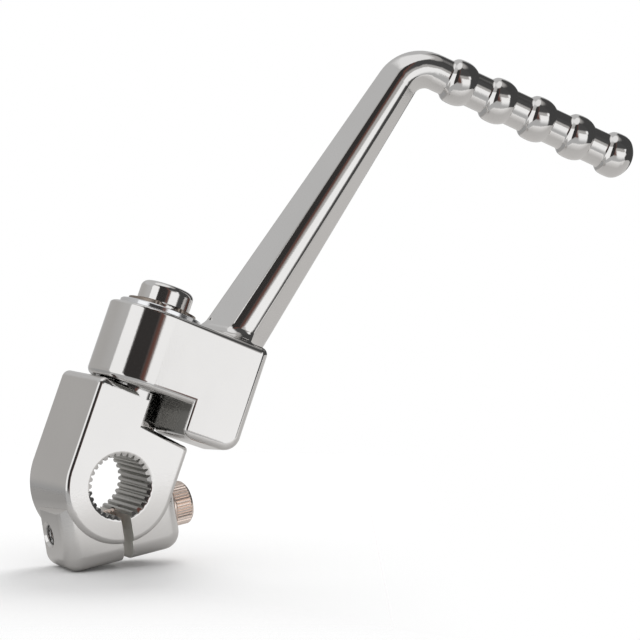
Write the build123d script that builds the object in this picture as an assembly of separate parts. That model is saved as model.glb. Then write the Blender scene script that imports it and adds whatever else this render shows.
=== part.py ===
"""Kick start lever: a splined clamp boss with a spindle, a folding arm with a ringed pedal, and fastenings.

Sizes are in millimetres. Everything is first laid out in an upright frame: x to the right, y away from the
viewer along the splined bore, z up along the spindle, with the origin in the middle of the bore. The whole
lever is then leaned over about the bore to the way it is shown.
"""

import os
from math import asin, cos, degrees, hypot, radians, sin, sqrt

from build123d import *

os.makedirs("parts", exist_ok=True)

# How the lever stands: the lean of the whole about the bore, and how far the arm is folded out from the face.
lean = 20.7
arm_yaw = -15.0

# Splined bore, made to close on a serrated shaft when the pinch bolt is pulled up.
tooth_count = 30
tooth_tip_r = 9.3
tooth_root_r = 10.4
tooth_tip_share = 0.40
tooth_root_share = 0.18
mouth_r = 11.0
mouth_depth = 0.9

# Clamp boss: drafted body, wider at the back than at the front.
clamp_depth = 25.0
front_half_width = 18.0
back_half_width = 20.4
clamp_top = 30.2
shoulder_high = 20.4
shoulder_low = 18.2
lug_edge_x = -0.2
boss_edge_r = 1.8
boss_corner_r = 2.6
shoulder_corner_r = 1.4

# Spindle that the arm folds on, forged in one with the clamp boss.
pivot_x = -1.9
pivot_from_front = 10.0
lug_r = 10.0
lug_sunk = 16.0
spindle_r = 8.6
spindle_above_clip = 6.7
spindle_top_r = 2.2
clip_groove_r = 7.6
groove_lip_chamfer = 0.5

# Ears below the bore, and the pinch bolt across them. u runs along the bolt, v from the bore to the ears.
bolt_rise = 30.0
slot_width = 3.2
ear_left_u = -20.2
ear_right_u = 19.2
ear_bottom_v = 24.1
ear_front_inset = 1.5
ear_depth = 20.5
ear_top_left_v = 5.0
ear_top_right_v = 8.0
ear_inner_u = 12.0
ear_left_corner_r = 5.1
ear_right_corner_r = 5.6
ear_front_edge_r = 5.0
ear_back_edge_r = 2.6
bolt_from_front = 15.5
bolt_thread_r = 3.45
bolt_bore_gap = 0.05
bolt_hole_gap = 0.35
tapped_gap = 0.05
tapped_countersink = 0.7
bolt_tip_u = -15.6
bolt_tip_chamfer = 0.8
bolt_head_r = 7.0
bolt_head_height = 8.0
bolt_head_chamfer = 0.7
hex_socket_across = 6.0
hex_socket_depth = 4.0
bolt_seat_gap = 0.02

# Arm: eye block that turns on the spindle, and its hanging stop that runs round outside the lug.
eye_r = 16.1
eye_bore_gap = 0.05
block_front = 15.8
block_right = 34.3
block_low = 30.6
block_high = 55.0
block_edge_r = 2.6
block_low_edge_r = 2.4
block_top_edge_r = 0.9
hang_low = 20.4
hang_corner_r = 5.2
recess_r = 20.1
recess_forward = 2.4
recess_edge_r = 1.2

# Tapered arm from the block to the bend, six-sided, with crowned front and back and rounded corners.
arm_foot_x = 24.1
arm_foot_width = 22.2
arm_foot_thick = 17.6
arm_head_width = 14.9
arm_head_thick = 12.4
arm_flat_left = 0.30
arm_flat_right = 0.40
arm_crown = 0.10
arm_corner_share = 0.16
arm_sunk = 6.0
foot_flare = 4.5
foot_flare_steps = 6

# Bend and ringed pedal.
bend_corner_x = 51.85
bend_corner_z = 162.4
bend_r = 11.0
pedal_droop = 3.3
pedal_rod_r = 5.95
ring_r = 7.6
ring_left = 5.2
ring_right = 4.5
ring_flank_share = 0.25
ring_count = 5
ring_pitch = 14.8
first_ring_x = 69.6
tip_past_last_ring = 6.2

# Thrust washer and circlip on the spindle, over the eye.
washer_r = 13.35
washer_thick = 1.7
washer_gap = 0.05
washer_edge_chamfer = 0.3
washer_room = 0.35
washer_room_height = 9.0
clip_thick = 1.1
clip_inner_r = 7.75
clip_outer_r = 11.1
clip_gap_angle = 34.0
clip_gap_direction = -100.0
clip_seat_gap = 0.05
clip_groove_gap = 0.08

# Detent: a ball and spring in the eye, and the track they run in on top of the clamp boss.
ball_r = 2.2
ball_circle_r = 12.4
ball_angle = 200.0
ball_hole_gap = 0.1
ball_hole_depth = 14.0
ball_sink = 0.9
track_gap = 0.06
track_margin = 2.0
spring_wire_r = 0.3
spring_r = 1.7
spring_turns = 5
spring_gap = 0.05

# Fold range from the pose shown, in degrees about the spindle.
fold_out = -75.0
fold_in = 15.0

washer_low = block_high + washer_gap
clip_low = washer_low + washer_thick + clip_seat_gap
spindle_top = clip_low + clip_thick + spindle_above_clip
front = -clamp_depth / 2
back = clamp_depth / 2
pivot_y = front + pivot_from_front
tiny = 0.01


def place(shape):
    """Lean a finished shape over about the bore."""
    return Rot(0, lean, 0) * shape


def place_arm(shape):
    """Put a shape drawn about the arm's own pivot axis, with x along the arm, where the arm is shown."""
    return place(Pos(pivot_x, pivot_y, 0) * Rot(0, 0, arm_yaw) * shape)


def disc(radius, low, high, x=0.0, y=0.0):
    """Upright cylinder between two heights."""
    return Pos(x, y, (low + high) / 2) * Cylinder(radius, high - low)


def nearest(sketch, x, y):
    """The corner of a flat outline that lies closest to a point."""
    return min(sketch.vertices(), key=lambda v: hypot(v.X - x, v.Y - y))


def write(shape, name):
    shape.label = name
    export_step(shape, f"parts/{name}.step")


# Clamp boss


def boss_outline(half):
    """Outline of the boss seen from the front: straight sides, round foot, and a shoulder beside the lug."""
    points = [(half, shoulder_low), (lug_edge_x, shoulder_high), (lug_edge_x, clamp_top), (-half, clamp_top)]
    edges = [
        Line((-half, clamp_top), (-half, 0)),
        ThreePointArc((-half, 0), (0, -half), (half, 0)),
        Line((half, 0), points[0]),
        Line(points[0], points[1]),
        Line(points[1], points[2]),
        Line(points[2], points[3]),
    ]
    return make_face(edges)


def facing(y, rise=0.0):
    """Drawing plane across the bore at depth y, with its first axis turned up by rise."""
    along = (cos(radians(rise)), 0, sin(radians(rise)))
    return Plane(origin=(0, y, 0), x_dir=along, z_dir=(0, -1, 0))


def drafted_boss():
    near_face = facing(front) * boss_outline(front_half_width)
    far_face = facing(back) * boss_outline(back_half_width)
    body = loft([near_face, far_face], ruled=True)
    rim = [e for e in body.edges() if abs(e.center().Y - front) < tiny]
    soft = [e for e in rim if e.center().X < -front_half_width / 2 and e.center().Z < clamp_top - tiny]
    soft += [e for e in rim if e.center().Z < shoulder_low - tiny and e not in soft]
    body = fillet(soft, boss_edge_r)
    corner = min(body.edges(), key=lambda e: e.center().X - e.center().Z)
    body = fillet(corner, boss_corner_r)
    corner = max(body.edges(), key=lambda e: e.center().X + e.center().Z / 2)
    return fillet(corner, shoulder_corner_r)


def ears():
    """Both ears as one block, before the slot is cut."""
    points = [
        (ear_left_u, -ear_bottom_v),
        (ear_right_u, -ear_bottom_v),
        (ear_right_u, -ear_top_right_v),
        (ear_inner_u, 0),
        (-ear_inner_u, 0),
        (ear_left_u, -ear_top_left_v),
    ]
    face = make_face(Polyline(*points, close=True))
    face = fillet(nearest(face, *points[0]), ear_left_corner_r)
    face = fillet(nearest(face, *points[1]), ear_right_corner_r)
    near = front + ear_front_inset
    block = extrude(facing(near, bolt_rise) * face, -ear_depth)
    block = fillet(low_rim(block, near), ear_front_edge_r)
    return fillet(low_rim(block, near + ear_depth), ear_back_edge_r)


def low_rim(block, depth):
    """Edges of the ears at one depth, without those buried in the boss."""
    down = -facing(0, bolt_rise).y_dir
    rim = [e for e in block.edges() if abs(e.center().Y - depth) < tiny]
    return [e for e in rim if e.center().dot(down) > ear_top_right_v / 2]


def tooth_gap():
    """One gap between the bore's teeth, as a flat outline on the x axis."""
    pitch = 360 / tooth_count
    foot = radians(pitch * (1 - tooth_tip_share) / 2)
    root = radians(pitch * tooth_root_share / 2)
    inside = tooth_tip_r - mouth_depth
    low = (inside * cos(foot), inside * sin(foot))
    mid = (tooth_tip_r * cos(foot), tooth_tip_r * sin(foot))
    top = (tooth_root_r * cos(root), tooth_root_r * sin(root))
    mirrored = [(x, -y) for x, y in (top, mid, low)]
    return make_face(Polyline(low, mid, top, *mirrored, close=True))


def splined_bore():
    """Everything that the bore removes."""
    plane = facing(front)
    hole = extrude(plane * Circle(tooth_tip_r), -clamp_depth)
    gaps = extrude(plane * (Sketch() + PolarLocations(0, tooth_count) * tooth_gap()), -clamp_depth)
    profile = [(0, front), (mouth_r, front), (tooth_tip_r, front + mouth_depth), (0, front + mouth_depth)]
    mouth = revolve(Plane.XY * make_face(Polyline(*profile, close=True)), Axis.Y)
    return hole + gaps + mouth + mirror(mouth, Plane.XZ)


def along_bolt(radius, start_u, end_u, v):
    """Cylinder on the bolt's axis between two places along it."""
    return across_bolt((start_u + end_u) / 2, v) * Cylinder(radius, end_u - start_u)


def across_bolt(u, v):
    """Plane square to the bolt, with its origin on the bolt's axis."""
    ear = facing(front + bolt_from_front, bolt_rise)
    return Plane(origin=ear.origin + ear.x_dir * u - ear.y_dir * v, x_dir=(0, 1, 0), z_dir=ear.x_dir)


bolt_v = tooth_tip_r + bolt_thread_r + bolt_bore_gap


def clamp_boss():
    body = drafted_boss() + ears()
    body += disc(lug_r, lug_sunk, clamp_top, pivot_x, pivot_y)
    body += disc(spindle_r, lug_sunk, spindle_top, pivot_x, pivot_y)
    rim = [e for e in body.edges().filter_by(GeomType.CIRCLE) if e.center().Z > spindle_top - tiny]
    body = fillet(rim, spindle_top_r)
    groove_low = clip_low - clip_groove_gap
    groove_high = clip_low + clip_thick + clip_groove_gap
    ring = disc(washer_r, groove_low, groove_high, pivot_x, pivot_y)
    ring -= disc(clip_groove_r, groove_low - 1, groove_high + 1, pivot_x, pivot_y)
    body -= ring
    lips = [e for e in body.edges().filter_by(GeomType.CIRCLE) if abs(e.center().Z - groove_high) < tiny]
    body = chamfer([e for e in lips if e.radius > clip_inner_r], groove_lip_chamfer)
    body -= splined_bore()
    slot = Pos(0, 0, -ear_bottom_v) * Box(slot_width, 2 * clamp_depth, 2 * ear_bottom_v)
    body -= Rot(0, -bolt_rise, 0) * slot
    body -= along_bolt(bolt_thread_r + bolt_hole_gap, 0, ear_right_u + bolt_head_height, bolt_v)
    body -= along_bolt(bolt_thread_r + tapped_gap, ear_left_u - 1, 0, bolt_v)
    body -= countersink()
    for piece in detent_track():
        body -= piece
    return body


def countersink():
    """Lead-in at the mouth of the tapped hole."""
    hole_r = bolt_thread_r + tapped_gap
    cone = Cone(hole_r + tapped_countersink, hole_r, tapped_countersink)
    return across_bolt(ear_left_u + tapped_countersink / 2, bolt_v) * cone


# Detent

ball_z = clamp_top - ball_sink + ball_r


def detent_track():
    """Shallow round track for the ball on top of the clamp boss, with room at both ends of the fold."""
    reach = ball_r + track_gap
    start = ball_angle + arm_yaw + fold_out - track_margin
    sweep_angle = fold_in - fold_out + 2 * track_margin
    section = Plane.XZ * Pos(ball_circle_r, ball_z) * Circle(reach)
    pieces = [revolve(section, Axis.Z, sweep_angle)]
    pieces += [Rot(0, 0, a) * Pos(ball_circle_r, 0, ball_z) * Sphere(reach) for a in (0, sweep_angle)]
    return [Pos(pivot_x, pivot_y, 0) * Rot(0, 0, start) * piece for piece in pieces]


ball_spot = (ball_circle_r * cos(radians(ball_angle)), ball_circle_r * sin(radians(ball_angle)))
spring_low = ball_z + sqrt(ball_r**2 - spring_r**2) + spring_wire_r + spring_gap
spring_high = block_low + ball_hole_depth - spring_wire_r - spring_gap


def detent_spring():
    pitch = (spring_high - spring_low) / spring_turns
    coil = Helix(pitch, spring_high - spring_low, spring_r)
    start = Plane(origin=coil @ 0, z_dir=coil % 0)
    wire = sweep(start * RegularPolygon(spring_wire_r, 6), path=coil)
    return Pos(*ball_spot, spring_low) * wire


# Arm


def slab_outline():
    """Right half of the block seen from above, square at both ends."""
    corners = [(0, -block_front), (block_right, -block_front), (block_right, eye_r), (0, eye_r)]
    return make_face(Polyline(*corners, close=True))


def eye_block():
    """Upper part of the block, round end on the spindle, under whose right end the stop hangs."""
    face = Circle(eye_r) + slab_outline()
    face = fillet(nearest(face, block_right, -block_front), block_edge_r)
    face = fillet(nearest(face, block_right, eye_r), block_edge_r)
    upper = extrude(Pos(0, 0, block_low) * face, block_high - block_low)
    upper = fillet([e for e in upper.edges() if abs(e.center().Z - block_low) < tiny], block_low_edge_r)
    return fillet([e for e in upper.edges() if abs(e.center().Z - block_high) < tiny], block_top_edge_r)


def hanging_stop():
    """Stop below the block's right end, hollowed round the lug and softened on all its free edges."""
    overlap = block_low + 2 * block_low_edge_r
    lower = extrude(Pos(0, 0, hang_low) * slab_outline(), overlap - hang_low)
    corner = max(lower.edges(), key=lambda e: e.center().X - e.center().Z)
    lower = fillet(corner, hang_corner_r)
    lower -= disc(recess_r, hang_low - 1, overlap + 1, 0, -recess_forward)
    lower = fillet(recess_sides(lower), recess_edge_r)
    kept = recess_sides(lower) + lower.edges().filter_by(Axis.Y)
    return fillet([e for e in lower.edges() if e.center().Z < overlap - tiny and e not in kept], block_edge_r)


def recess_sides(block):
    """Upright edges of the hollow round the lug."""
    return [e for e in block.edges().filter_by(Axis.Z) if e.center().X < recess_r]


def six_sided(left, right, half):
    """Outline of the arm's section: a ridge at each side, flats beside it, and crowned front and back."""
    middle = (left + right) / 2
    flat_left = middle + (left - middle) * arm_flat_left
    flat_right = middle + (right - middle) * arm_flat_right
    edges = []
    for side in (-half, half):
        edge = side * (1 - arm_crown)
        edges.append(Line((left, 0), (flat_left, edge)))
        edges.append(ThreePointArc((flat_left, edge), ((flat_left + flat_right) / 2, side), (flat_right, edge)))
        edges.append(Line((flat_right, edge), (right, 0)))
    face = make_face(edges)
    return fillet(face.vertices(), 2 * arm_corner_share * half)


def arm_section(width, thick):
    return six_sided(-width / 2, width / 2, thick / 2)


arm_length = hypot(bend_corner_x - arm_foot_x, bend_corner_z - block_high)
rise_angle = degrees(asin((bend_corner_x - arm_foot_x) / arm_length))
turn_angle = 90 + pedal_droop - rise_angle
bend_tangent = bend_r * sin(radians(turn_angle / 2)) / cos(radians(turn_angle / 2))
rise_dir = Vector(sin(radians(rise_angle)), 0, cos(radians(rise_angle)))
pedal_dir = Vector(cos(radians(pedal_droop)), 0, -sin(radians(pedal_droop)))
bend_corner = Vector(bend_corner_x, 0, bend_corner_z)
bend_start = bend_corner - rise_dir * bend_tangent
bend_end = bend_corner + pedal_dir * bend_tangent


def across_arm(at):
    """Plane square to the rising arm, first axis to the right and down."""
    return Plane(origin=at, x_dir=(cos(radians(rise_angle)), 0, -sin(radians(rise_angle))), z_dir=rise_dir)


def rising_arm():
    foot = Vector(arm_foot_x, 0, block_high) - rise_dir * arm_sunk
    low = across_arm(foot) * arm_section(arm_foot_width, arm_foot_thick)
    high = across_arm(bend_start) * arm_section(arm_head_width, arm_head_thick)
    return loft([low, high], ruled=True)


def arm_foot():
    """Flare that carries the arm's left, front and back sides down into the top of the block."""
    sections = []
    across = Vector(cos(radians(rise_angle)), 0, -sin(radians(rise_angle)))
    foot = Vector(arm_foot_x, 0, block_high)
    for i in range(foot_flare_steps):
        height = foot_flare * i / (foot_flare_steps - 1)
        grow = foot_flare - sqrt(foot_flare**2 - (foot_flare - height) ** 2)
        z = block_high + height
        sides = []
        for sign in (-1, 1):
            low = foot + across * (sign * arm_foot_width / 2)
            high = bend_start + across * (sign * arm_head_width / 2)
            sides.append(low.X + (high.X - low.X) * (z - low.Z) / (high.Z - low.Z))
        share = (z - foot.Z) / (bend_start.Z - foot.Z)
        half = (arm_foot_thick + (arm_head_thick - arm_foot_thick) * share) / 2
        sections.append(Pos(0, 0, z) * six_sided(sides[0] - grow, sides[1], half + grow))
    return loft(sections)


def bend():
    turn = ThreePointArc(bend_start, bend_middle(), bend_end)
    low = across_arm(bend_start) * arm_section(arm_head_width, arm_head_thick)
    under_pedal = (-sin(radians(pedal_droop)), 0, -cos(radians(pedal_droop)))
    high = Plane(origin=bend_end, x_dir=under_pedal, z_dir=pedal_dir) * Circle(pedal_rod_r)
    return sweep(sections=[low, high], path=turn, multisection=True)


def bend_middle():
    """Middle of the bend's centre line."""
    inward = (pedal_dir - rise_dir).normalized()
    centre = bend_corner + inward * (bend_r / cos(radians(turn_angle / 2)))
    return centre - inward * bend_r


def pedal():
    """Rod with rings, turned about its own axis. Each ring rises from a hollow foot and ends in a crease."""
    reach = (first_ring_x - bend_end.X) / cos(radians(pedal_droop))
    lines = [Line((0, 0), (0, pedal_rod_r))]
    at = 0.0
    for i in range(ring_count):
        middle = reach + i * ring_pitch
        crest = (middle, ring_r)
        foot = (middle - ring_left, pedal_rod_r)
        flank = (middle - ring_left * (1 - ring_flank_share), (pedal_rod_r + ring_r) / 2)
        lines.append(Line((at, pedal_rod_r), foot))
        lines.append(Spline(foot, flank, crest, tangents=[(1, 0), (1, 0)]))
        at = middle + ring_right
        if i < ring_count - 1:
            lines.append(TangentArc(crest, (at, pedal_rod_r), tangent=(1, 0)))
    tip = middle + tip_past_last_ring
    slant = sqrt(0.5)
    shoulder = (middle + tip_past_last_ring * slant, ring_r * slant)
    lines.append(Spline(crest, shoulder, (tip, 0), tangents=[(1, 0), (0, -1)]))
    lines.append(Line((tip, 0), (0, 0)))
    shape = revolve(make_face(lines), Axis.X)
    return Plane(origin=bend_end, x_dir=pedal_dir, z_dir=(0, 1, 0)) * shape


def kick_arm():
    body = eye_block() + hanging_stop() + rising_arm() + arm_foot()
    body -= disc(washer_r + washer_room, block_high, block_high + washer_room_height)
    body += bend()
    body += pedal()
    body -= disc(spindle_r + eye_bore_gap, hang_low, block_high + 1)
    body -= disc(ball_r + ball_hole_gap, block_low - 1, block_low + ball_hole_depth, *ball_spot)
    return body


# Fastenings


def thrust_washer():
    ring = disc(washer_r, washer_low, washer_low + washer_thick)
    ring = chamfer(ring.edges().filter_by(GeomType.CIRCLE), washer_edge_chamfer)
    return ring - disc(spindle_r + eye_bore_gap, washer_low - 1, clip_low)


def circlip():
    ring = disc(clip_outer_r, clip_low, clip_low + clip_thick)
    ring -= disc(clip_inner_r, clip_low - 1, clip_low + clip_thick + 1)
    gap_width = 2 * clip_outer_r * sin(radians(clip_gap_angle / 2))
    gap = Pos(clip_outer_r, 0, clip_low) * Box(2 * clip_outer_r, gap_width, 4 * clip_thick)
    return ring - Rot(0, 0, clip_gap_direction) * gap


def pinch_bolt():
    seat = ear_right_u + bolt_seat_gap
    head = along_bolt(bolt_head_r, seat, seat + bolt_head_height, bolt_v)
    head = chamfer(head.edges().filter_by(GeomType.CIRCLE), bolt_head_chamfer)
    shank = along_bolt(bolt_thread_r, bolt_tip_u, seat + 1, bolt_v)
    tip = min(shank.edges().filter_by(GeomType.CIRCLE), key=lambda e: e.center().X)
    shank = chamfer(tip, bolt_tip_chamfer)
    hexagon = RegularPolygon(hex_socket_across / 2, 6, major_radius=False)
    socket = extrude(across_bolt(seat + bolt_head_height, bolt_v) * hexagon, -hex_socket_depth)
    return head + shank - socket


write(place(clamp_boss()), "clamp_boss")
write(place_arm(kick_arm()), "kick_arm")
write(place_arm(thrust_washer()), "thrust_washer")
write(place(Pos(pivot_x, pivot_y, 0) * circlip()), "circlip")
write(place(pinch_bolt()), "pinch_bolt")
write(place_arm(Pos(*ball_spot, ball_z) * Sphere(ball_r)), "detent_ball")
write(place_arm(detent_spring()), "detent_spring")
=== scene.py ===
# %% [markdown]
# # A chromed kick start lever
# The lever is two forgings and a few small parts. A toothed clamp grips the engine's shaft, and an arm
# with a ringed pedal folds out on the clamp's spindle. The solids come ready made from CAD, in metres.
# This script dresses them: camera, studio, finishes, and the shapes that are too fine for the solids.

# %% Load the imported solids
import math

import bmesh
import bpy
from mathutils import Matrix, Vector


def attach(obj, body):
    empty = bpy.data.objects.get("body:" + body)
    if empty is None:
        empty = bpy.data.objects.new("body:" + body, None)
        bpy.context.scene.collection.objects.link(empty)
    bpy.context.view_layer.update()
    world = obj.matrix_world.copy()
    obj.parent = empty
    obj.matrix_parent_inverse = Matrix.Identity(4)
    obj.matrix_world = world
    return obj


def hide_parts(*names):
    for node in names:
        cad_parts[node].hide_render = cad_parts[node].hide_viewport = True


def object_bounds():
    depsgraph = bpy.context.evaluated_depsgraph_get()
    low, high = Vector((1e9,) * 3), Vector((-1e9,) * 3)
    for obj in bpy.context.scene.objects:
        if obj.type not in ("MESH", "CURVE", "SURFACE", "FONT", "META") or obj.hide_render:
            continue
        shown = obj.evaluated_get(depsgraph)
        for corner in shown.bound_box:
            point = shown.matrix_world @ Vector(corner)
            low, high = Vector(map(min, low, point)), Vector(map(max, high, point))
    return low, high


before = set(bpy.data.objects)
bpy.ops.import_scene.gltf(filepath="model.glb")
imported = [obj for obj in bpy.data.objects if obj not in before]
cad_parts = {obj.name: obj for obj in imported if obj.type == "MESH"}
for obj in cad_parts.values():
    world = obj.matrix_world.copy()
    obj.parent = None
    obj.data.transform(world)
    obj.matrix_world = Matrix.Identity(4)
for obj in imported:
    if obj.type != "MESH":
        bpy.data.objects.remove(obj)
cad_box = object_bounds()
mm = 0.001
print("solids:", sorted(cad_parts))

# %% [markdown]
# ## Camera
# The photograph looks along the lever from the front left, a little from above, with a long lens. A long
# lens keeps the clamp's round mouth nearly round. The camera could be aimed by a tracking constraint, but
# a place and a heading in numbers leave nothing extra in the scene.

# %% Camera
HEADING = math.radians(28.74)
DIP = math.radians(2.34)

camera_data = bpy.data.cameras.new("camera")
camera_data.lens = 112.5
camera_data.sensor_width = 36.0
camera = bpy.data.objects.new("camera", camera_data)
camera.location = (-0.2419, -0.5815, 0.0766)
camera.rotation_euler = (math.pi / 2 - DIP, 0.0, -HEADING)
bpy.context.scene.collection.objects.link(camera)
bpy.context.scene.camera = camera
print("camera stands", round(camera.location.length, 3), "m from the bore")

# %% [markdown]
# ## Wiring nodes
# The studio and every finish are node trees. Wired by hand, each node takes five or six lines, so a few
# helpers add a node, feed it and give back the socket with its result. The rest then reads as sums.


# %% Helpers for numbers and vectors
def add(tree, kind, place=(0, 0), **settings):
    """Add a node, put it somewhere readable and set its properties."""
    node = tree.nodes.new(kind)
    node.location = place
    for name, value in settings.items():
        setattr(node, name, value)
    return node


def feed(tree, value, socket):
    """Link a socket to an input, or set the input to a number or to red, green and blue."""
    if isinstance(value, bpy.types.NodeSocket):
        tree.links.new(value, socket)
    elif isinstance(value, (int, float)):
        socket.default_value = value
    else:
        socket.default_value = (*value, 1.0)


def math_node(tree, operation, *values, place=(0, 0)):
    """A Math node that takes sockets or plain numbers."""
    node = add(tree, "ShaderNodeMath", place, operation=operation)
    for value, socket in zip(values, node.inputs):
        feed(tree, value, socket)
    return node.outputs[0]


def vector_node(tree, operation, a, b=None, place=(0, 0)):
    """A Vector Math node on a socket and a plain vector."""
    node = add(tree, "ShaderNodeVectorMath", place, operation=operation)
    tree.links.new(a, node.inputs[0])
    if b is not None:
        node.inputs[1].default_value = b
    return node.outputs["Value" if operation in ("LENGTH", "DOT_PRODUCT") else "Vector"]


def turned(tree, vector, axis, angle, place=(0, 0)):
    """A vector turned about an axis."""
    turn = add(tree, "ShaderNodeVectorRotate", place, rotation_type=axis + "_AXIS")
    turn.inputs["Angle"].default_value = angle
    tree.links.new(vector, turn.inputs["Vector"])
    return turn.outputs[0]


def parts_of(tree, vector, place=(0, 0)):
    """The X, Y and Z sockets of a vector."""
    split = add(tree, "ShaderNodeSeparateXYZ", place)
    tree.links.new(vector, split.inputs[0])
    return split.outputs


# %% Helpers for colours and shaders
def ramp_node(tree, factor, stops, place=(0, 0)):
    """A colour ramp from (position, colour) stops. A colour is a grey level or red, green and blue."""
    node = add(tree, "ShaderNodeValToRGB", place)
    elements = node.color_ramp.elements
    elements.remove(elements[-1])
    for index, (position, colour) in enumerate(stops):
        element = elements[0] if index == 0 else elements.new(position)
        element.position = position
        rgb = (colour,) * 3 if isinstance(colour, float) else colour
        element.color = (*rgb, 1.0)
    tree.links.new(factor, node.inputs[0])
    return node.outputs[0]


def ramp_up(tree, value, start, soft, place=(0, 0)):
    """0 below a threshold, 1 above it, over a soft width."""
    node = add(tree, "ShaderNodeMapRange", place, interpolation_type="SMOOTHSTEP")
    node.inputs["From Min"].default_value = start - soft / 2
    node.inputs["From Max"].default_value = start + soft / 2
    tree.links.new(value, node.inputs["Value"])
    return node.outputs[0]


def mix_colours(tree, factor, a, b, place=(0, 0), blend="MIX"):
    """Mix two colours, each a socket or red, green and blue."""
    node = add(tree, "ShaderNodeMix", place, data_type="RGBA", blend_type=blend)
    for value, socket in ((factor, node.inputs[0]), (a, node.inputs[6]), (b, node.inputs[7])):
        feed(tree, value, socket)
    return node.outputs[2]


def mix_shaders(tree, factor, a, b, place=(0, 0)):
    """One shader where the factor is 0, another where it is 1."""
    node = add(tree, "ShaderNodeMixShader", place)
    for value, socket in zip((factor, a, b), node.inputs):
        tree.links.new(value, socket)
    return node.outputs[0]


# %% [markdown]
# ## Studio
# Chrome has next to no colour of its own. What it shows is the room, so the room is the larger part of
# the finish. Mesh lights and paper cards could stand round the lever, but each would need a mesh, a
# material and a place, and would light the floor too. Here the world does the work: the direction in
# which a reflected ray leaves is turned into a bearing round the lever and a height above it, and these
# two pick a card.

# %% Where a ray looks, in degrees
world = bpy.data.worlds.new("studio")
bpy.context.scene.world = world
world.use_nodes = True
room = world.node_tree
room.nodes.clear()

sight = add(room, "ShaderNodeTexCoord", (-1900, 0)).outputs["Generated"]
sides = parts_of(room, turned(room, sight, "Z", HEADING, (-1720, 0)), (-1540, 0))
leftward = math_node(room, "MULTIPLY", sides["X"], -1.0, place=(-1360, 120))
towards_lens = math_node(room, "MULTIPLY", sides["Y"], -1.0, place=(-1360, -40))
bearing = math_node(room, "ARCTAN2", leftward, towards_lens, place=(-1180, 60))
bearing = math_node(room, "DEGREES", bearing, place=(-1000, 60))
height = math_node(room, "ARCSINE", sides["Z"], place=(-1180, -160))
height = math_node(room, "DEGREES", height, place=(-1000, -160))
print("bearing is 0 at the lens and grows to the left, height is 0 level with the object")

# %% [markdown]
# A card is a patch of the room between two bearings and two heights. Its edges are soft, because a crisp
# one would look drawn on the metal. A card may lean, as one on a tilted stand does, and its lower edge
# may fade over a longer way, as light does on a card that reaches down to the floor.

# %% One card of the studio
CARD_WIDTH = 900


def lay_card(behind, column, tone, middle, half, soft, low=None, high=None, foot=None, lean=0.0):
    """Lay a card over what is behind it. Foot softens its lower edge, lean moves it per degree up."""
    x = column * CARD_WIDTH
    leaning = math_node(room, "MULTIPLY_ADD", height, -lean, -middle, place=(x, 300))
    aside = math_node(room, "ADD", bearing, leaning, place=(x + 150, 300))
    aside = math_node(room, "WRAP", aside, 180.0, -180.0, place=(x + 300, 300))
    off_middle = math_node(room, "ABSOLUTE", aside, place=(x + 450, 300))
    outside = ramp_up(room, off_middle, half, soft, (x + 450, 100))
    inside = math_node(room, "SUBTRACT", 1.0, outside, place=(x + 600, 300))
    if low is not None:
        above = ramp_up(room, height, low, foot or soft, (x + 450, -100))
        inside = math_node(room, "MULTIPLY", inside, above, place=(x + 600, 100))
    if high is not None:
        over = ramp_up(room, height, high, soft, (x + 450, -300))
        under = math_node(room, "SUBTRACT", 1.0, over, place=(x + 600, -100))
        inside = math_node(room, "MULTIPLY", inside, under, place=(x + 750, 100))
    colour = (tone,) * 3 if isinstance(tone, float) else tone
    return mix_colours(room, inside, behind, colour, (x + 850, 0))


# %% [markdown]
# The photographer's room can be read off the lever. The big flats face a little to the right of the lens
# and are nearly white, so a white card stands on that side. The dark stripe down the eye and the arm is
# the lens's own side of the room, with a brown edge next to it. A second white card stands to the left,
# the far right is dark, the walls are mid grey and the ceiling is bright. All of it is in degrees, and a
# half width over 180 reaches all the way round.

# %% The cards, each laid over the ones before it
WALLS = (0.44, 0.43, 0.42)
BROWN = (0.13, 0.062, 0.05)
NEAR_BLACK = (0.036, 0.033, 0.032)
ALL_ROUND = 400.0

cards = {
    "wall behind the lever": dict(tone=0.52, middle=180.0, half=25.0, soft=14.0),
    "light wall, high left": dict(tone=0.54, middle=108.0, half=46.0, low=26.0, high=70.0, soft=14.0),
    "ground": dict(tone=0.46, middle=0.0, half=ALL_ROUND, high=-9.5, soft=3.0),
    "darker ground, left": dict(tone=0.34, middle=125.0, half=55.0, high=-6.0, soft=10.0),
    "dark far right": dict(tone=0.06, middle=-110.0, half=50.0, low=-60.0, high=56.0, soft=10.0),
    "dark over the lens": dict(tone=0.07, middle=-15.0, half=52.0, low=26.0, high=64.0, soft=8.0),
    "brown edge": dict(tone=BROWN, middle=-15.5, half=6.5, low=-9.0, high=64.0, soft=10.0),
    "lens's side": dict(tone=NEAR_BLACK, middle=8.5, half=21.0, low=-9.0, high=64.0, soft=9.0),
    "right card": dict(
        tone=1.0, middle=-40.5, half=18.0, low=-17.0, high=13.0, soft=5.0, foot=24.0, lean=-0.15
    ),
    "right card's top": dict(tone=1.0, middle=-59.0, half=6.0, low=13.0, high=25.0, soft=5.0),
    "left card": dict(tone=1.0, middle=48.0, half=18.0, low=-9.0, high=45.0, soft=4.0),
    "ceiling": dict(tone=0.88, middle=0.0, half=ALL_ROUND, low=67.0, soft=8.0),
}
in_metal = WALLS
for column, card in enumerate(cards.values(), start=1):
    in_metal = lay_card(in_metal, column, **card)
print("cards:", ", ".join(cards))

# %% [markdown]
# Only reflections may see these cards. The camera itself sees a white backdrop, and the floor is lit by a
# plain pale room, so that its shadow is soft and has no colour. Light Path tells the three kinds of ray
# apart.

# %% The world's three faces
MATT_LIGHT = 0.78

after = (len(cards) + 1) * CARD_WIDTH
rays = add(room, "ShaderNodeLightPath", (after, 420)).outputs


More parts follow.
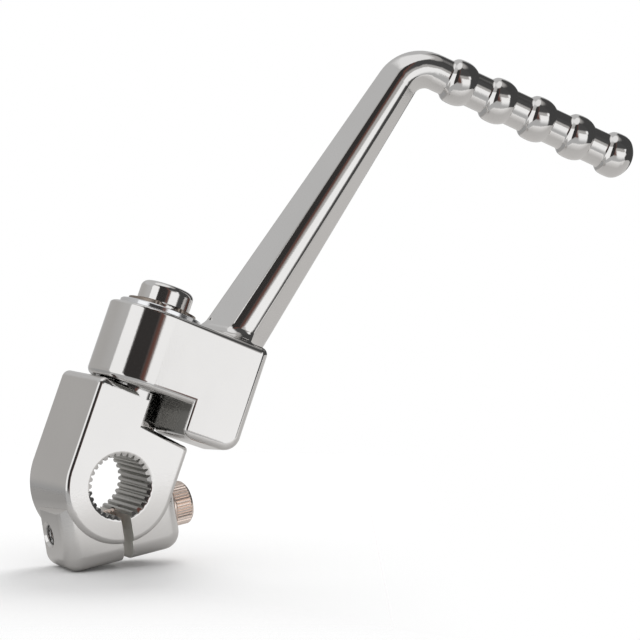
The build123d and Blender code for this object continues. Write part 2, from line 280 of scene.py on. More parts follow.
def background(colour, strength, place):
    """Light of one colour from everywhere."""
    node = add(room, "ShaderNodeBackground", place)
    feed(room, colour, node.inputs["Color"])
    node.inputs["Strength"].default_value = strength
    return node.outputs[0]


cards_light = background(in_metal, 1.0, (after + 220, 40))
matt_light = background((1.0, 1.0, 1.0), MATT_LIGHT, (after + 220, -120))
backdrop = background((1.0, 1.0, 1.0), 1.0, (after + 220, -280))
unseen = mix_shaders(room, rays["Is Glossy Ray"], matt_light, cards_light, (after + 440, 0))
seen = mix_shaders(room, rays["Is Camera Ray"], unseen, backdrop, (after + 640, 0))
world_out = add(room, "ShaderNodeOutputWorld", (after + 840, 0))
room.links.new(seen, world_out.inputs[0])
print("world nodes:", len(room.nodes))

# %% [markdown]
# ## Floor
# The floor is a pale disc just under the clamp's ears. It is there for two things: it catches the soft
# shadow, and it shows in the underside of the chrome. It could be a card of the world too, but those are
# infinitely far away. The disc is near, so what shows of it changes along the arm, as on the real lever.

# %% Floor disc
FLOOR_R = 0.75
FLOOR_GAP = 0.2 * mm

floor_z = cad_box[0][2] - FLOOR_GAP
floor_mesh = bpy.data.meshes.new("floor")
disc = bmesh.new()
middle = Matrix.Translation((0, 0, floor_z))
bmesh.ops.create_circle(disc, cap_ends=True, segments=96, radius=FLOOR_R, matrix=middle)
disc.to_mesh(floor_mesh)
disc.free()
floor = bpy.data.objects.new("floor", floor_mesh)
bpy.context.scene.collection.objects.link(floor)
print("floor lies at", round(floor_z, 4), "m")

# %% [markdown]
# To the camera the disc fades into the white backdrop well before its rim, so no horizon line is left. It
# fades sooner in front and on the right, where the photograph's paper is white. All of it is worked out
# from the disc's own Object coordinates: how far a point is from the bore, how far forward of it and how
# far aside.

# %% Where the floor fades for the camera
ROUND_FADE = (0.16, 0.34)
FRONT_FADE = (0.04, 0.12)
RIGHT_FADE = (0.02, 0.11)
FORWARD = (-math.sin(HEADING), -math.cos(HEADING), 0.0)
LEFTWARD = (-math.cos(HEADING), math.sin(HEADING), 0.0)


def fade_over(tree, distance, limits, place):
    """0 up to the first limit, 1 past the second."""
    return ramp_node(tree, distance, [(limits[0], 0.0), (limits[1], 1.0)], place)


paper = bpy.data.materials.new("pale_paper")
paper.use_nodes = True
tree = paper.node_tree
tree.nodes.clear()
spot = add(tree, "ShaderNodeTexCoord", (-1300, 0)).outputs["Object"]
flat_spot = vector_node(tree, "MULTIPLY", spot, (1.0, 1.0, 0.0), (-1100, 0))
from_bore = vector_node(tree, "LENGTH", flat_spot, place=(-900, 0))
forward = vector_node(tree, "DOT_PRODUCT", spot, FORWARD, (-900, 620))
to_left = vector_node(tree, "DOT_PRODUCT", spot, LEFTWARD, (-900, 820))
to_right = math_node(tree, "MULTIPLY", to_left, -1.0, place=(-720, -620))
faded = fade_over(tree, from_bore, ROUND_FADE, (-500, 0))
front_faded = fade_over(tree, forward, FRONT_FADE, (-500, -420))
faded = math_node(tree, "MAXIMUM", faded, front_faded, place=(-220, -300))
right_faded = fade_over(tree, to_right, RIGHT_FADE, (-500, -620))
faded = math_node(tree, "MAXIMUM", faded, right_faded, place=(-220, -500))
print("floor fades from", ROUND_FADE[0], "to", ROUND_FADE[1], "m, sooner in front and on the right")

# %% [markdown]
# In the chrome the paper has other limits. It is a sheet laid off to the right, and its colour there is
# painted light and shade: darker than the paper itself, lighter towards the lens and darker on the left, so
# the clamp's underside is light in front and mid grey on its left.

# %% What the chrome sees of the floor
SHEET_MIDDLE = (0.296, 0.123, 0.0)
SHEET_FADE = (0.365, 0.395)
FAR_PAPER, NEAR_PAPER = (0.50, 0.49, 0.48), (0.93, 0.92, 0.91)
LEFT_SHARE = 0.66

# Painted light and shade on the paper as the chrome sees it: lighter towards the lens, darker on the left.
in_mirror = ramp_node(tree, forward, [(0.0, FAR_PAPER), (0.13, NEAR_PAPER)], (-700, 620))
left_tone = ramp_node(tree, to_left, [(0.02, 1.0), (0.07, LEFT_SHARE)], (-700, 820))
in_mirror = mix_colours(tree, 1.0, in_mirror, left_tone, (-400, 700), blend="MULTIPLY")
off_sheet = vector_node(tree, "SUBTRACT", flat_spot, SHEET_MIDDLE, (-900, -200))
off_sheet = vector_node(tree, "LENGTH", off_sheet, place=(-720, -200))
sheet_faded = fade_over(tree, off_sheet, SHEET_FADE, (-500, -200))
print("the sheet in the chrome ends", SHEET_FADE[1], "m from its middle")

# %% Pale paper
PAPER = (0.97, 0.97, 0.97)

in_chrome = add(tree, "ShaderNodeLightPath", (-500, 420)).outputs["Is Glossy Ray"]
matt = add(tree, "ShaderNodeBsdfDiffuse", (0, 240))
tree.links.new(mix_colours(tree, in_chrome, PAPER, in_mirror, (-220, 240)), matt.inputs["Color"])
clear = add(tree, "ShaderNodeBsdfTransparent", (0, 80))
gone = mix_colours(tree, in_chrome, faded, sheet_faded, (0, -100))
shown = mix_shaders(tree, gone, matt.outputs[0], clear.outputs[0], (220, 160))
paper_out = add(tree, "ShaderNodeOutputMaterial", (420, 160))
tree.links.new(shown, paper_out.inputs[0])
floor.data.materials.append(paper)
print("paper nodes:", len(tree.nodes))

# %% [markdown]
# ## Lamp
# One large soft lamp hangs high behind the lever and to the right, so the shadow falls towards the lens
# and to the left, as in the photograph. It is hidden from the chrome, which would show it as one more
# card. The view transform is Standard, because the filmic ones turn a white backdrop grey.

# %% Soft lamp
lamp_data = bpy.data.lights.new("soft_lamp", "AREA")
lamp_data.shape = "DISK"
lamp_data.size = 0.5
lamp_data.energy = 3.0
lamp = bpy.data.objects.new("soft_lamp", lamp_data)
lamp.location = (0.46, 0.36, 0.68)
lamp.rotation_euler = (-lamp.location).to_track_quat("-Z", "Y").to_euler()
lamp.visible_glossy = False
bpy.context.scene.collection.objects.link(lamp)

bpy.context.scene.view_settings.view_transform = "Standard"
print("lamp hangs", round(lamp.location.length, 2), "m from the bore")

# %% [markdown]
# ## Finishes
# Every metal here is a Principled shader with Metallic at 1. What sets them apart is how sharp the
# reflection is and how the surface waves under it. Polished forgings are never quite flat: a slow ripple
# bends the stripes, and fine speckle from the plating shows in the dark ones. That ripple and speckle is
# one node group, used by each metal with its own strength.

# %% Group: plated surface
CLOUD_SCALE, RIPPLE_SCALE, SPECKLE_SCALE = 35.0, 60.0, 2500.0
RIPPLE_HEIGHT, SPECKLE_HEIGHT = 0.001, 0.00002


def noise(group, where, scale, detail, place):
    """The grey level of a noise texture."""
    node = add(group, "ShaderNodeTexNoise", place)
    node.inputs["Scale"].default_value = scale
    node.inputs["Detail"].default_value = detail
    group.links.new(where, node.inputs["Vector"])
    return node.outputs["Fac"]


def bump(group, strength, level, height, place):
    """A Bump node over a grey level."""
    node = add(group, "ShaderNodeBump", place)
    node.inputs["Distance"].default_value = height
    group.links.new(strength, node.inputs["Strength"])
    group.links.new(level, node.inputs["Height"])
    return node


def plated_surface_group():
    """Two masks and the bumped normal of a hand-polished, plated surface."""
    group = bpy.data.node_groups.new("plated_surface", "ShaderNodeTree")
    for name in ("Ripple", "Speckle"):
        group.interface.new_socket(name, in_out="INPUT", socket_type="NodeSocketFloat")
    for name, kind in (("Cloud", "Float"), ("Grain", "Float"), ("Normal", "Vector")):
        group.interface.new_socket(name, in_out="OUTPUT", socket_type="NodeSocket" + kind)
    strengths = add(group, "NodeGroupInput", (-900, 0)).outputs
    results = add(group, "NodeGroupOutput", (500, 0)).inputs
    where = add(group, "ShaderNodeTexCoord", (-900, 260)).outputs["Object"]
    cloud = noise(group, where, CLOUD_SCALE, 5.0, (-620, -340))
    ripple = noise(group, where, RIPPLE_SCALE, 2.0, (-620, 260))
    grain = noise(group, where, SPECKLE_SCALE, 3.0, (-620, -40))
    slow = bump(group, strengths["Ripple"], ripple, RIPPLE_HEIGHT, (-180, 260))
    fine = bump(group, strengths["Speckle"], grain, SPECKLE_HEIGHT, (60, 120))
    group.links.new(slow.outputs["Normal"], fine.inputs["Normal"])
    for name, socket in (("Cloud", cloud), ("Grain", grain), ("Normal", fine.outputs["Normal"])):
        group.links.new(socket, results[name])
    return group


plated_surface = plated_surface_group()
print("group:", plated_surface.name)

# %% [markdown]
# A metal is then a tint, a range of roughness, and how much ripple and speckle it has. The cloud mask
# moves the tint and the roughness a little from place to place, as a hand-held polishing wheel does.


# %% Metals, plated or bare
def metal(name, tint, rough, ripple, speckle):
    """A metal with a tint and a range of roughness."""
    material = bpy.data.materials.new(name)
    material.use_nodes = True
    tree = material.node_tree
    tree.nodes.clear()
    shader = add(tree, "ShaderNodeBsdfPrincipled", (300, 0), name="shader")
    shader.inputs["Metallic"].default_value = 1.0
    out = add(tree, "ShaderNodeOutputMaterial", (600, 0))
    tree.links.new(shader.outputs[0], out.inputs[0])
    surface = add(tree, "ShaderNodeGroup", (-700, 0), node_tree=plated_surface, name="surface")
    surface.inputs["Ripple"].default_value = ripple
    surface.inputs["Speckle"].default_value = speckle
    tree.links.new(surface.outputs["Normal"], shader.inputs["Normal"])
    dull = [level * 0.9 for level in tint]
    colour = mix_colours(tree, surface.outputs["Cloud"], dull, tint, (-300, 200))
    tree.links.new(colour, shader.inputs["Base Color"])
    spread = ramp_node(tree, surface.outputs["Cloud"], [(0.3, rough[0]), (0.7, rough[1])], (-300, -60))
    tree.links.new(spread, shader.inputs["Roughness"])
    print("metal:", name)
    return material


def change_where(tree, mask, colour, roughness):
    """Give a metal another colour and roughness wherever a mask is 1."""
    inputs = tree.nodes["shader"].inputs
    for name, value, level in (("Base Color", colour, 300), ("Roughness", (roughness,) * 3, -60)):
        before = inputs[name].links[0].from_socket
        tree.links.new(mix_colours(tree, mask, before, value, (60, level)), inputs[name])


# %% [markdown]
# ## Chrome
# The hollow under the eye block, round the lug, lies in shade and mostly sees its own walls. Painted shade
# stands in
# for that: its chrome gets a darker colour and a higher roughness. A painted map could say where, but the
# place is easy
# to name: the lever leans, so the coordinates are first turned upright, and the hollow is then what lies
# within a cylinder about its own axis and under the block's lower face.

# %% Chrome, with painted shade in the hollow
LEAN = math.radians(20.7)
CHROME = dict(tint=(0.86, 0.85, 0.84), rough=(0.035, 0.075), ripple=0.045, speckle=0.35)
HOLLOW_PAINTED_SHADE, HOLLOW_SHADE_ROUGH = (0.24, 0.24, 0.23), 0.2
HOLLOW_AXIS = (-2.52 * mm, -4.82 * mm, 0.0)
HOLLOW_R = 20.3 * mm
HOLLOW_TOP = 30.8 * mm

chrome = metal("bright_chrome", **CHROME)
tree = chrome.node_tree
spot = add(tree, "ShaderNodeTexCoord", (-1700, -400)).outputs["Object"]
upright_spot = turned(tree, spot, "Y", -LEAN, (-1520, -400))
off_axis = vector_node(tree, "SUBTRACT", upright_spot, HOLLOW_AXIS, (-1340, -600))
off_axis = vector_node(tree, "MULTIPLY", off_axis, (1.0, 1.0, 0.0), (-1160, -600))
off_axis = vector_node(tree, "LENGTH", off_axis, place=(-980, -600))
within = math_node(tree, "LESS_THAN", off_axis, HOLLOW_R, place=(-800, -600))
upright_z = parts_of(tree, upright_spot, (-1340, -400))["Z"]
under = math_node(tree, "LESS_THAN", upright_z, HOLLOW_TOP, place=(-800, -440))
hollow = math_node(tree, "MULTIPLY", within, under, place=(-620, -500))
# Painted shade: inside the hollow the chrome gets a darker colour and a higher roughness.
change_where(tree, hollow, HOLLOW_PAINTED_SHADE, HOLLOW_SHADE_ROUGH)
print("hollow reaches", round(HOLLOW_R / mm, 1), "mm from its axis")

# %% [markdown]
# ## Bare steel in the clamp
# The clamp's toothed bore and the saw cut below it were machined after plating, so the bare steel shows
# there. Both places are easy to name by distance: the bore is a cylinder about the Y axis, less the
# plated bevel at each mouth, and the cut is a thin slab that stands 9.3 degrees off upright.

# %% Mask of the bore
BARE_R = 10.55 * mm
BARE_EDGE = 0.1 * mm
BARE_HALF_DEPTH = 11.6 * mm
SLOT_TILT = math.radians(30.0) - LEAN

clamp_chrome = metal("clamp_chrome", **CHROME)
tree = clamp_chrome.node_tree
spot = add(tree, "ShaderNodeTexCoord", (-1700, -500)).outputs["Object"]
off_bore = vector_node(tree, "MULTIPLY", spot, (1.0, 0.0, 1.0), (-1500, -300))
off_bore = vector_node(tree, "LENGTH", off_bore, place=(-1320, -300))
round_bore = add(tree, "ShaderNodeMapRange", (-1140, -300))
for name, value in (("From Min", BARE_R), ("From Max", BARE_R + BARE_EDGE), ("To Min", 1.0), ("To Max", 0.0)):
    round_bore.inputs[name].default_value = value
tree.links.new(off_bore, round_bore.inputs["Value"])
slot_spot = parts_of(tree, turned(tree, spot, "Y", SLOT_TILT, (-1500, -700)), (-1320, -700))
depth = math_node(tree, "ABSOLUTE", slot_spot["Y"], place=(-960, -480))
behind_mouth = math_node(tree, "LESS_THAN", depth, BARE_HALF_DEPTH, place=(-780, -480))
toothed = math_node(tree, "MULTIPLY", round_bore.outputs[0], behind_mouth, place=(-600, -440))
print("bare steel within", round(BARE_R / mm, 2), "mm of the bore's axis")

# %% Mask of the cut
CUT_HALF_WIDTH = 1.64 * mm
CUT_TOP = -6.0 * mm

off_cut = math_node(tree, "ABSOLUTE", slot_spot["X"], place=(-960, -640))
thin = math_node(tree, "LESS_THAN", off_cut, CUT_HALF_WIDTH, place=(-780, -640))
below = math_node(tree, "LESS_THAN", slot_spot["Z"], CUT_TOP, place=(-780, -800))
cut = math_node(tree, "MULTIPLY", thin, below, place=(-600, -700))
bare = math_node(tree, "MAXIMUM", toothed, cut, place=(-420, -500))
print("the cut stands", round(math.degrees(SLOT_TILT), 1), "degrees off upright")

# %% Bare steel in both
DARK_STEEL, LIGHT_STEEL, SAWN_STEEL = (0.50, 0.50, 0.48), (0.80, 0.79, 0.77), (0.92, 0.91, 0.88)
BARE_ROUGH = 0.5

grain = tree.nodes["surface"].outputs["Grain"]
steel = mix_colours(tree, grain, DARK_STEEL, LIGHT_STEEL, (-300, 420))
steel = mix_colours(tree, cut, steel, SAWN_STEEL, (-120, 420))
change_where(tree, bare, steel, BARE_ROUGH)
print("clamp_chrome nodes:", len(tree.nodes))

# %% [markdown]
# ## The small parts' metals
# The washer is zinc plated, a little blue and satin. The circlip is dark spring steel. The bolt has a
# warm tone, and the parts that hide inside, the ball and its spring, are plain hard steel. Each could be
# a shader of its own, but with the chrome's shader and other numbers they all belong to one lever.

# %% The small parts' metals
zinc = metal("zinc_plate", tint=(0.95, 0.96, 0.98), rough=(0.10, 0.18), ripple=0.03, speckle=0.6)
clip_steel = metal("dark_spring_steel", tint=(0.36, 0.31, 0.27), rough=(0.25, 0.4), ripple=0.03, speckle=0.6)
bronzed = metal("bronzed_steel", tint=(1.0, 0.86, 0.78), rough=(0.16, 0.30), ripple=0.05, speckle=0.6)
hard_steel = metal("hardened_steel", tint=(0.6, 0.6, 0.6), rough=(0.15, 0.25), ripple=0.02, speckle=0.3)

# %% [markdown]
# ## Smooth skins for the forgings
# The solids arrive as plain triangles, and chrome shows every facet of them. A copy whose doubled points
# are merged can shade smoothly. Edges sharper than a set angle stay crisp, and a Weighted Normal modifier
# lets the large flats keep their own direction, so that only the roundings bend the reflection.


# %% Finish a mesh
def shade(work, crisp):
    """Smooth faces with crisp edges where they turn sharply."""
    for face in work.faces:
        face.smooth = True
    for edge in work.edges:
        edge.smooth = edge.is_manifold and edge.calc_face_angle(math.pi) < crisp


def finish(work, mesh, name, body, material):
    """Turn finished geometry into a piece that rides its body."""
    work.to_mesh(mesh)
    work.free()
    mesh.materials.clear()
    mesh.materials.append(material)
    piece = bpy.data.objects.new(name, mesh)
    bpy.context.scene.collection.objects.link(piece)
    weighted = piece.modifiers.new("flats_lead", "WEIGHTED_NORMAL")
    weighted.mode = "FACE_AREA"
    weighted.keep_sharp = True
    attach(piece, body)
    print(name, len(mesh.polygons), "faces")
    return piece


# %% Skin from a solid
SKIN_CRISP = math.radians(32)
NEARLY_FLAT = math.radians(0.2)
SAME_POINT, NO_LENGTH = 2e-7, 1e-7


def skin(node, body, material, reshape=None):
    """A merged, smooth-shaded copy of a solid that stands for it."""
    name = node + "_skin"
    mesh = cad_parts[node].data.copy()
    mesh.name = name
    if "custom_normal" in mesh.attributes:
        mesh.attributes.remove(mesh.attributes["custom_normal"])
    work = bmesh.new()
    work.from_mesh(mesh)
    bmesh.ops.remove_doubles(work, verts=work.verts, dist=SAME_POINT)
    bmesh.ops.dissolve_degenerate(work, dist=NO_LENGTH, edges=work.edges)
    bmesh.ops.dissolve_limit(work, angle_limit=NEARLY_FLAT, verts=work.verts, edges=work.edges)
    if reshape:
        reshape(work)
    shade(work, SKIN_CRISP)
    piece = finish(work, mesh, name, body, material)
    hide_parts(node)


# %% [markdown]
# ## The arm's shaft
# The arm's long tapered shaft shows the straightest stripes of the whole lever, and the solid's triangles
# are too uneven there to carry them. A finer solid would cost the part many more triangles. So the skin
# is cut across at both ends of the shaft, and the stretch between is laid again as even rings. Each ring
# is the arm's true section: arcs round the two side ridges, arcs round the corners of the crown, and the
# crown itself, with flats between them.

# %% The arm's own axes
FOOT_X, BLOCK_TOP = 24.1 * mm, 55.0 * mm
BEND_X, BEND_Z = 51.85 * mm, 162.4 * mm
SPINDLE = (-1.9 * mm, -2.5 * mm, 0.0)
BLOCK_TURN = math.radians(-15.0)

RISE = math.asin((BEND_X - FOOT_X) / math.hypot(BEND_X - FOOT_X, BEND_Z - BLOCK_TOP))
PIVOT = Matrix.Rotation(LEAN, 4, "Y") @ Matrix.Translation(SPINDLE)
BLOCK_AXES = PIVOT @ Matrix.Rotation(BLOCK_TURN, 4, "Z")
ARM_AXES = BLOCK_AXES @ Matrix.Translation((FOOT_X, 0.0, BLOCK_TOP)) @ Matrix.Rotation(RISE, 4, "Y")
print("the arm's axis rises", round(math.degrees(RISE), 2), "degrees off the spindle's")

# %% Section of the shaft
CORNER_SHARE = 0.32
CHORD_SHARE, SAG_SHARE, CROWN_OFF_SHARE = 0.175, 0.1, 0.025
CREST_SHARES = {-1: 0.15, 1: 0.20}
CREST_LEVEL = 0.9


def heading(start, end):
    """Direction from one flat point to another, as an angle."""
    return math.atan2(end[1] - start[1], end[0] - start[0])


def section_arcs(width, thick):
    """The front half's arcs from left to right: centre, radius, first and last angle, steps."""
    half = thick / 2
    corner = CORNER_SHARE * half
    chord = CHORD_SHARE * width
    sag = SAG_SHARE * half
    crown = (chord * chord + sag * sag) / (2 * sag)
    middle = Vector((CROWN_OFF_SHARE * width, crown - half))
    ridges, corners, outward = [], [], []
    for side, reach in CREST_SHARES.items():
        ridge = Vector((side * width / 2, 0.0))
        edge = Vector((side * reach * width, -CREST_LEVEL * half))
        along = (edge - ridge).normalized()
        inward = Vector((side * along.y, -side * along.x))
        tilt = math.atan2(abs(along.y), abs(along.x))
        ridges.append(Vector((ridge.x - side * corner / math.sin(tilt), 0.0)))
        off = edge + corner * inward - middle
        back = off.dot(along)
        root = math.sqrt(back * back - off.length_squared + (crown - corner) ** 2)
        corners.append(middle + off + (-back - math.copysign(root, -back)) * along)
        outward.append(math.atan2(-inward.y, -inward.x))
    turn_in, turn_out = heading(middle, corners[0]), heading(middle, corners[1])
    return [
        (ridges[0], corner, -math.pi, outward[0], 8),
        (corners[0], corner, outward[0], turn_in, 6),
        (middle, crown, turn_in, turn_out, 20),
        (corners[1], corner, turn_out, outward[1], 8),
        (ridges[1], corner, outward[1], 0.0, 8),
    ]


# %% Outline of the shaft
FOOT_WIDTH, FOOT_THICK = 22.2 * mm, 17.6 * mm
HEAD_WIDTH, HEAD_THICK = 14.9 * mm, 12.4 * mm
TINY = 1e-6


def section_outline(share):
    """Points round the section, a share of the way from the foot to the head."""
    width = FOOT_WIDTH + (HEAD_WIDTH - FOOT_WIDTH) * share
    thick = FOOT_THICK + (HEAD_THICK - FOOT_THICK) * share
    front = []
    for centre, radius, start, stop, steps in section_arcs(width, thick):
        for step in range(steps + 1):
            angle = start + (stop - start) * step / steps
            spot = Vector((centre.x + radius * math.cos(angle), centre.y + radius * math.sin(angle)))
            if not front or (spot - front[-1]).length > TINY:
                front.append(spot)
    return [(u, v) for u, v in front] + [(u, -v) for u, v in front[-2:0:-1]]


print("the section has", len(section_outline(0.0)), "points")

# %% [markdown]
# The shaft stands slantwise on the block, so two levels matter: a height square to the block's top, where
# the flare at the foot ends, and a length along the shaft's own axis, where the bend begins. The first
# ring follows the flare's level, the others stand square to the shaft, and each cut is bridged to its
# nearest ring.

# %% Rings of the shaft
HEAD = 101.89 * mm
FLARE_TOP, SHAFT_HIGH = 4.0 * mm, 101.6 * mm
LOW_GAP, HIGH_GAP = 1.0 * mm, 0.6 * mm
SECOND_RING = 9.5 * mm
SHAFT_STEPS = 14


def join_rings(work, low, high):
    """Faces between two rings with the same number of vertices."""
    for i in range(len(low)):
        j = (i + 1) % len(low)
        work.faces.new((low[i], low[j], high[j], high[i]))


def over_block(spot):
    """Height of a point in the arm's axes, square to the block's top."""
    return math.cos(RISE) * spot.z - math.sin(RISE) * spot.x


def shaft_spot(low, high, rise):
    """Where a straight line up the shaft, between two corners, reaches a height over the block."""
    low, high = Vector((*low, 0.0)), Vector((*high, HEAD))
    return low.lerp(high, (rise - over_block(low)) / (over_block(high) - over_block(low)))


def shaft_rings():
    """The rings' points in the arm's axes, from the flare to the bend."""
    corners = zip(section_outline(0.0), section_outline(1.0))
    rings = [[shaft_spot(low, high, FLARE_TOP + LOW_GAP) for low, high in corners]]
    last = SHAFT_HIGH - HIGH_GAP
    for index in range(SHAFT_STEPS + 1):
        along = SECOND_RING + (last - SECOND_RING) * index / SHAFT_STEPS
        rings.append([Vector((u, v, along)) for u, v in section_outline(along / HEAD)])
    return rings


print("the shaft has", len(shaft_rings()), "rings")

# %% Cut the old shaft out
SHAFT_ROOM = (13.0 * mm, 10.5 * mm)
CUT_REACH = 16.0 * mm


def on_shaft(face, to_arm):
    """Whether a face lies between the two cuts, on the shaft itself."""
    spots = [to_arm @ vert.co for vert in face.verts]
    inside = all(over_block(p) > FLARE_TOP - TINY and p.z < SHAFT_HIGH + TINY for p in spots)
    return inside and all(abs(p.x) < SHAFT_ROOM[0] and abs(p.y) < SHAFT_ROOM[1] for p in spots)


def cut_shaft_out(work, to_arm):
    """Slice the skin at both ends of the shaft and delete what lies between."""
    up = Vector((0, 0, 1))
    flare_cut = (up * FLARE_TOP / math.cos(RISE), PIVOT.to_3x3() @ up)
    bend_cut = (up * SHAFT_HIGH, ARM_AXES.to_3x3() @ up)
    for level, normal in (flare_cut, bend_cut):
        near = [face for face in work.faces if abs((to_arm @ face.calc_center_median()).x) < CUT_REACH]
        edges = list({edge for face in near for edge in face.edges})
        verts = list({vert for face in near for vert in face.verts})
        parts = near + edges + verts
        bmesh.ops.bisect_plane(work, geom=parts, dist=NO_LENGTH, plane_co=ARM_AXES @ level, plane_no=normal)
    old = [face for face in work.faces if on_shaft(face, to_arm)]
    bmesh.ops.delete(work, geom=old, context="FACES")


# %% Lay the shaft again
ON_CUT = 2e-6


def clean_shaft(work):
    """Cut the shaft out of the arm's skin and lay it again as even rings."""
    to_arm = ARM_AXES.inverted()
    cut_shaft_out(work, to_arm)
    rings = [[work.verts.new(ARM_AXES @ spot) for spot in ring] for ring in shaft_rings()]
    for low, high in zip(rings, rings[1:]):
        join_rings(work, low, high)
    for ring, low_end in ((rings[0], True), (rings[-1], False)):
        rim = []
        for edge in (e for e in work.edges if e.is_boundary):
            spots = [to_arm @ vert.co for vert in edge.verts]
            off_cut = [over_block(p) - FLARE_TOP if low_end else p.z - SHAFT_HIGH for p in spots]
            if all(abs(off) < ON_CUT for off in off_cut) or all(vert in ring for vert in edge.verts):
                rim.append(edge)
        bmesh.ops.bridge_loops(work, edges=rim)
    bmesh.ops.recalc_face_normals(work, faces=work.faces)
    open_edges = sum(1 for edge in work.edges if not edge.is_manifold)
    print("shaft laid again, open edges left:", open_edges)


# %% [markdown]
# ## The block's top edge
# The round on the eye block's top front edge is small at the eye and grows towards the right, where a
# dark band of the room shows in it. The solid keeps it small all along. A point of that round lies some
# way in from the wall and some way under the top, and when both ways are stretched by the same amount,
# the round has a larger radius. That needs no new faces, so the skin stays closed.

# %% Size of the round, from place to place
EDGE_R, WIDE_R = 0.9 * mm, 2.4 * mm
CORNER_R = 2.6 * mm
BLOCK_RIGHT, BLOCK_FRONT = 34.3 * mm, 15.8 * mm
CORNER_X, CORNER_Y = BLOCK_RIGHT - CORNER_R, CORNER_R - BLOCK_FRONT
EYE_END = 3.1 * mm
RIGHT_RUN = 3.0 * mm


def radius_at(share):
    """Radius of the round, a share of the way from its small end to its wide one."""
    return EDGE_R + (WIDE_R - EDGE_R) * max(0.0, share)


def near_wall(spot):
    """Outward direction of the block's nearest wall, distance in from it, and the round's radius."""
    past = Vector((spot.x - CORNER_X, spot.y - CORNER_Y, 0.0))
    if past.x > 0 and past.y < 0:
        return past.normalized(), CORNER_R - past.length, WIDE_R
    if past.x > 0:
        return Vector((1, 0, 0)), BLOCK_RIGHT - spot.x, radius_at(1.0 - past.y / RIGHT_RUN)
    run = (spot.x - EYE_END) / (CORNER_X - EYE_END)
    return Vector((0, -1, 0)), spot.y + BLOCK_FRONT, radius_at(run)


# %% Growing round on the block
NEAR_TOP, NEAR_EDGE = 1e-5, 2e-5


def widen_round(work):
    """Let the round on the block's top edge grow towards its right corner."""
    to_block = BLOCK_AXES.inverted()
    moved = 0
    for vert in work.verts:
        spot = to_block @ vert.co
        if not BLOCK_TOP - EDGE_R - NEAR_TOP < spot.z < BLOCK_TOP + NEAR_TOP or spot.x < EYE_END:
            continue
        outward, inset, radius = near_wall(spot)
        if inset < EDGE_R + NEAR_EDGE and radius > EDGE_R:
            grow = radius / EDGE_R
            spot -= outward * inset * (grow - 1)
            spot.z = BLOCK_TOP - (BLOCK_TOP - spot.z) * grow
            vert.co = BLOCK_AXES @ spot
            moved += 1
    print("round on the block's top edge: moved", moved, "points")


def reshape_arm(work):
    """The arm's skin with a growing round on the block and an even shaft."""
    widen_round(work)
    clean_shaft(work)


# %% [markdown]
# ## Skins on the pieces
# The two forgings take most of the picture, and the washer and the circlip lie in front of them, so these
# four get skins. The ball and its spring sit in a blind hole and never show, so their solids only get a
# finish.

# %% Skins on the pieces
skin("clamp_boss", "clamp", clamp_chrome)
skin("kick_arm", "arm", chrome, reshape=reshape_arm)
skin("thrust_washer", "arm", zinc)
skin("circlip", "clamp", clip_steel)
for hidden in ("detent_ball", "detent_spring"):
    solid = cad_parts[hidden]
    solid.data.materials.clear()
    solid.data.materials.append(hard_steel)
print("finish only: detent_ball and detent_spring")

# %% [markdown]
# ## The pinch bolt's head
# The solid of the bolt is plain. Seen close, its head has a fine straight knurl that ends short of the
# collar. A bump map would leave its outline smooth, so the head is a stack of rings about the bolt's
# axis, and in the knurled stretch every third vertex sits deeper. The bolt is drawn in millimetres along
# its own axis, and then put in place.

# %% Stacks of rings
BOLT_MIDDLE = (6.4 * mm, 3.0 * mm, -11.085 * mm)
BOLT_TURN = Matrix.Rotation(math.radians(60.0), 4, "Y") @ Matrix.Rotation(math.radians(90.0), 4, "Z")
BOLT_AXES = Matrix.Rotation(LEAN, 4, "Y") @ Matrix.Translation(BOLT_MIDDLE) @ BOLT_TURN


def stack(work, axes, levels, sides, closed=True):
    """Join rings given in millimetres as (place along the axis, radius or function of side and angle)."""
    rings = []
    for along, radius in levels:
        ring = []
        for side in range(sides):
            angle = 2 * math.pi * side / sides
            r = radius(side, angle) if callable(radius) else radius
            spot = Vector((r * math.cos(angle), r * math.sin(angle), along))
            ring.append(work.verts.new(axes @ (spot * mm)))
        rings.append(ring)
    for low, high in zip(rings, rings[1:]):
        join_rings(work, low, high)
    if closed:
        work.faces.new(rings[0][::-1])
        work.faces.new(rings[-1])
    else:
        join_rings(work, rings[-1], rings[0])


# %% Bolt head
SEAT = 19.22
HEAD_SIDES = 126
HEAD_R, HEAD_LONG, RIM_R = 7.0, 8.0, 6.2
COLLAR_R, GROOVE_R = 6.9, 6.75
KNURL_LOW, KNURL_HIGH, KNURL_DEPTH = 2.15, 7.0, 0.4
SOCKET_ACROSS, SOCKET_DEPTH = 6.0, 4.0


def knurl(side, _):
    """Radius of the knurled head: every third side sits deeper."""
    return HEAD_R if side % 3 else HEAD_R - KNURL_DEPTH


def hexagon(_, angle):
    """Radius of the six-sided socket."""
    return SOCKET_ACROSS / 2 / math.cos((angle % (math.pi / 3)) - math.pi / 6)


collar = [(0.0, 6.3), (0.5, COLLAR_R), (0.7, HEAD_R), (1.5, HEAD_R), (1.6, GROOVE_R), (1.95, GROOVE_R)]
grip = [(2.05, COLLAR_R), (KNURL_LOW, knurl), (KNURL_HIGH, knurl), (7.25, 6.85), (7.45, GROOVE_R)]
socket = [(HEAD_LONG, RIM_R), (HEAD_LONG, hexagon), (HEAD_LONG - SOCKET_DEPTH, hexagon)]
bolt_work = bmesh.new()
head = [(SEAT + along, radius) for along, radius in collar + grip + socket]
stack(bolt_work, BOLT_AXES, head, HEAD_SIDES)
print("bolt head:", len(bolt_work.faces), "faces")

# %% [markdown]
# ## The bolt's thread
# The shank is threaded where it crosses the bore. A helical sweep would need its own end caps and a clean
# join with the shank. A stack of close rings needs neither: at each level the radius depends on the turn,
# and a crest that moves on by one pitch per turn is a thread.

# %% Levels of a thread
PITCH = 1.25
STEPS_PER_PITCH = 8


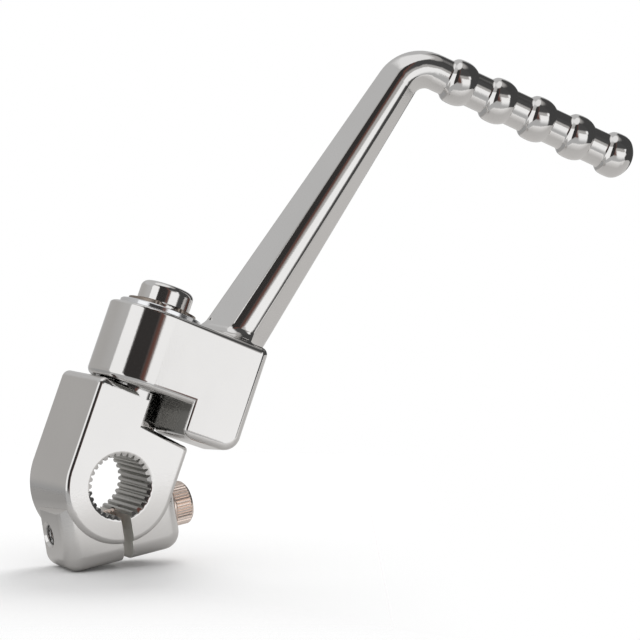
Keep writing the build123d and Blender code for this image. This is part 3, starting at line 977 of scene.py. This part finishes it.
def thread_levels(start, stop, crest, root):
    """Levels of a thread: at each one the radius depends on the turn, so the ridge climbs."""
    levels = []
    count = int((stop - start) / PITCH * STEPS_PER_PITCH)
    for index in range(count + 1):
        along = start + (stop - start) * index / count

        def radius(_, angle, along=along):
            phase = (along / PITCH - angle / (2 * math.pi)) % 1.0
            ridge = min(1.0, max(0.0, 2.4 * (1 - abs(2 * phase - 1)) - 0.6))
            return root + (crest - root) * ridge

        levels.append((along, radius))
    return levels


# %% Bolt thread
FINE_CRISP = math.radians(38)
CREST_R, ROOT_R = 3.44, 2.85
TIP, THREAD_LOW, THREAD_HIGH = -15.6, -14.9, 16.0
IN_HEAD = 0.3

shank = [(TIP, 2.6), (TIP + 0.3, 2.8)] + thread_levels(THREAD_LOW, THREAD_HIGH, CREST_R, ROOT_R)
shank += [(THREAD_HIGH + 0.4, CREST_R), (SEAT + IN_HEAD, CREST_R)]
stack(bolt_work, BOLT_AXES, shank, 40)
bmesh.ops.recalc_face_normals(bolt_work, faces=bolt_work.faces)
shade(bolt_work, FINE_CRISP)
bolt_mesh = bpy.data.meshes.new("pinch_bolt_fine")
bolt = finish(bolt_work, bolt_mesh, "pinch_bolt_fine", "clamp", bronzed)
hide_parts("pinch_bolt")

# %% [markdown]
# ## Thread in the tapped ear
# The ear across from the head is tapped. Cutting the thread out of the ear's own skin would disturb its
# smooth shading. So a thin sleeve with the same thread turned inwards lines the hole, and its outer side
# is sunk a hair into the ear so that no gap shows.

# %% Thread in the tapped ear
SLEEVE_R, SLEEVE_LOW, SLEEVE_HIGH = 3.51, -19.45, -15.7
TAP_LOW, TAP_HIGH = -19.35, -15.75
TAP_CREST_R, TAP_ROOT_R = 3.05, 3.47

tapped_work = bmesh.new()
lining = thread_levels(TAP_LOW, TAP_HIGH, TAP_CREST_R, TAP_ROOT_R)
lining = [(SLEEVE_LOW, SLEEVE_R)] + lining + [(SLEEVE_HIGH, SLEEVE_R)]
stack(tapped_work, BOLT_AXES, lining, 48, closed=False)
bmesh.ops.recalc_face_normals(tapped_work, faces=tapped_work.faces)
shade(tapped_work, FINE_CRISP)
tapped_mesh = bpy.data.meshes.new("tapped_thread")
finish(tapped_work, tapped_mesh, "tapped_thread", "clamp", hard_steel)

# %% [markdown]
# ## Eyes of the circlip
# The circlip is closed with pliers, so each end carries an eye. Two flat rings sit over its ends, as
# thick as the clip. They are a piece of their own, so that the clip's skin needs no hole cut into it.

# %% Eyes of the circlip
GAP_TURN, EYE_TURN = -100.0, 22.0
EYE_REACH = 10.15
EYE_R, EYE_HOLE_R = 1.45, 0.55
CLIP_LOW, CLIP_HIGH = 56.79, 57.93

eyes_work = bmesh.new()
ring = [(CLIP_LOW, EYE_HOLE_R), (CLIP_LOW, EYE_R), (CLIP_HIGH, EYE_R), (CLIP_HIGH, EYE_HOLE_R)]
for turn in (GAP_TURN - EYE_TURN, GAP_TURN + EYE_TURN):
    angle = math.radians(turn)
    spot = Vector((EYE_REACH * math.cos(angle), EYE_REACH * math.sin(angle), 0.0)) * mm
    stack(eyes_work, PIVOT @ Matrix.Translation(spot), ring, 28, closed=False)
bmesh.ops.recalc_face_normals(eyes_work, faces=eyes_work.faces)
shade(eyes_work, FINE_CRISP)
eyes_mesh = bpy.data.meshes.new("circlip_eyes")
finish(eyes_work, eyes_mesh, "circlip_eyes", "clamp", clip_steel)
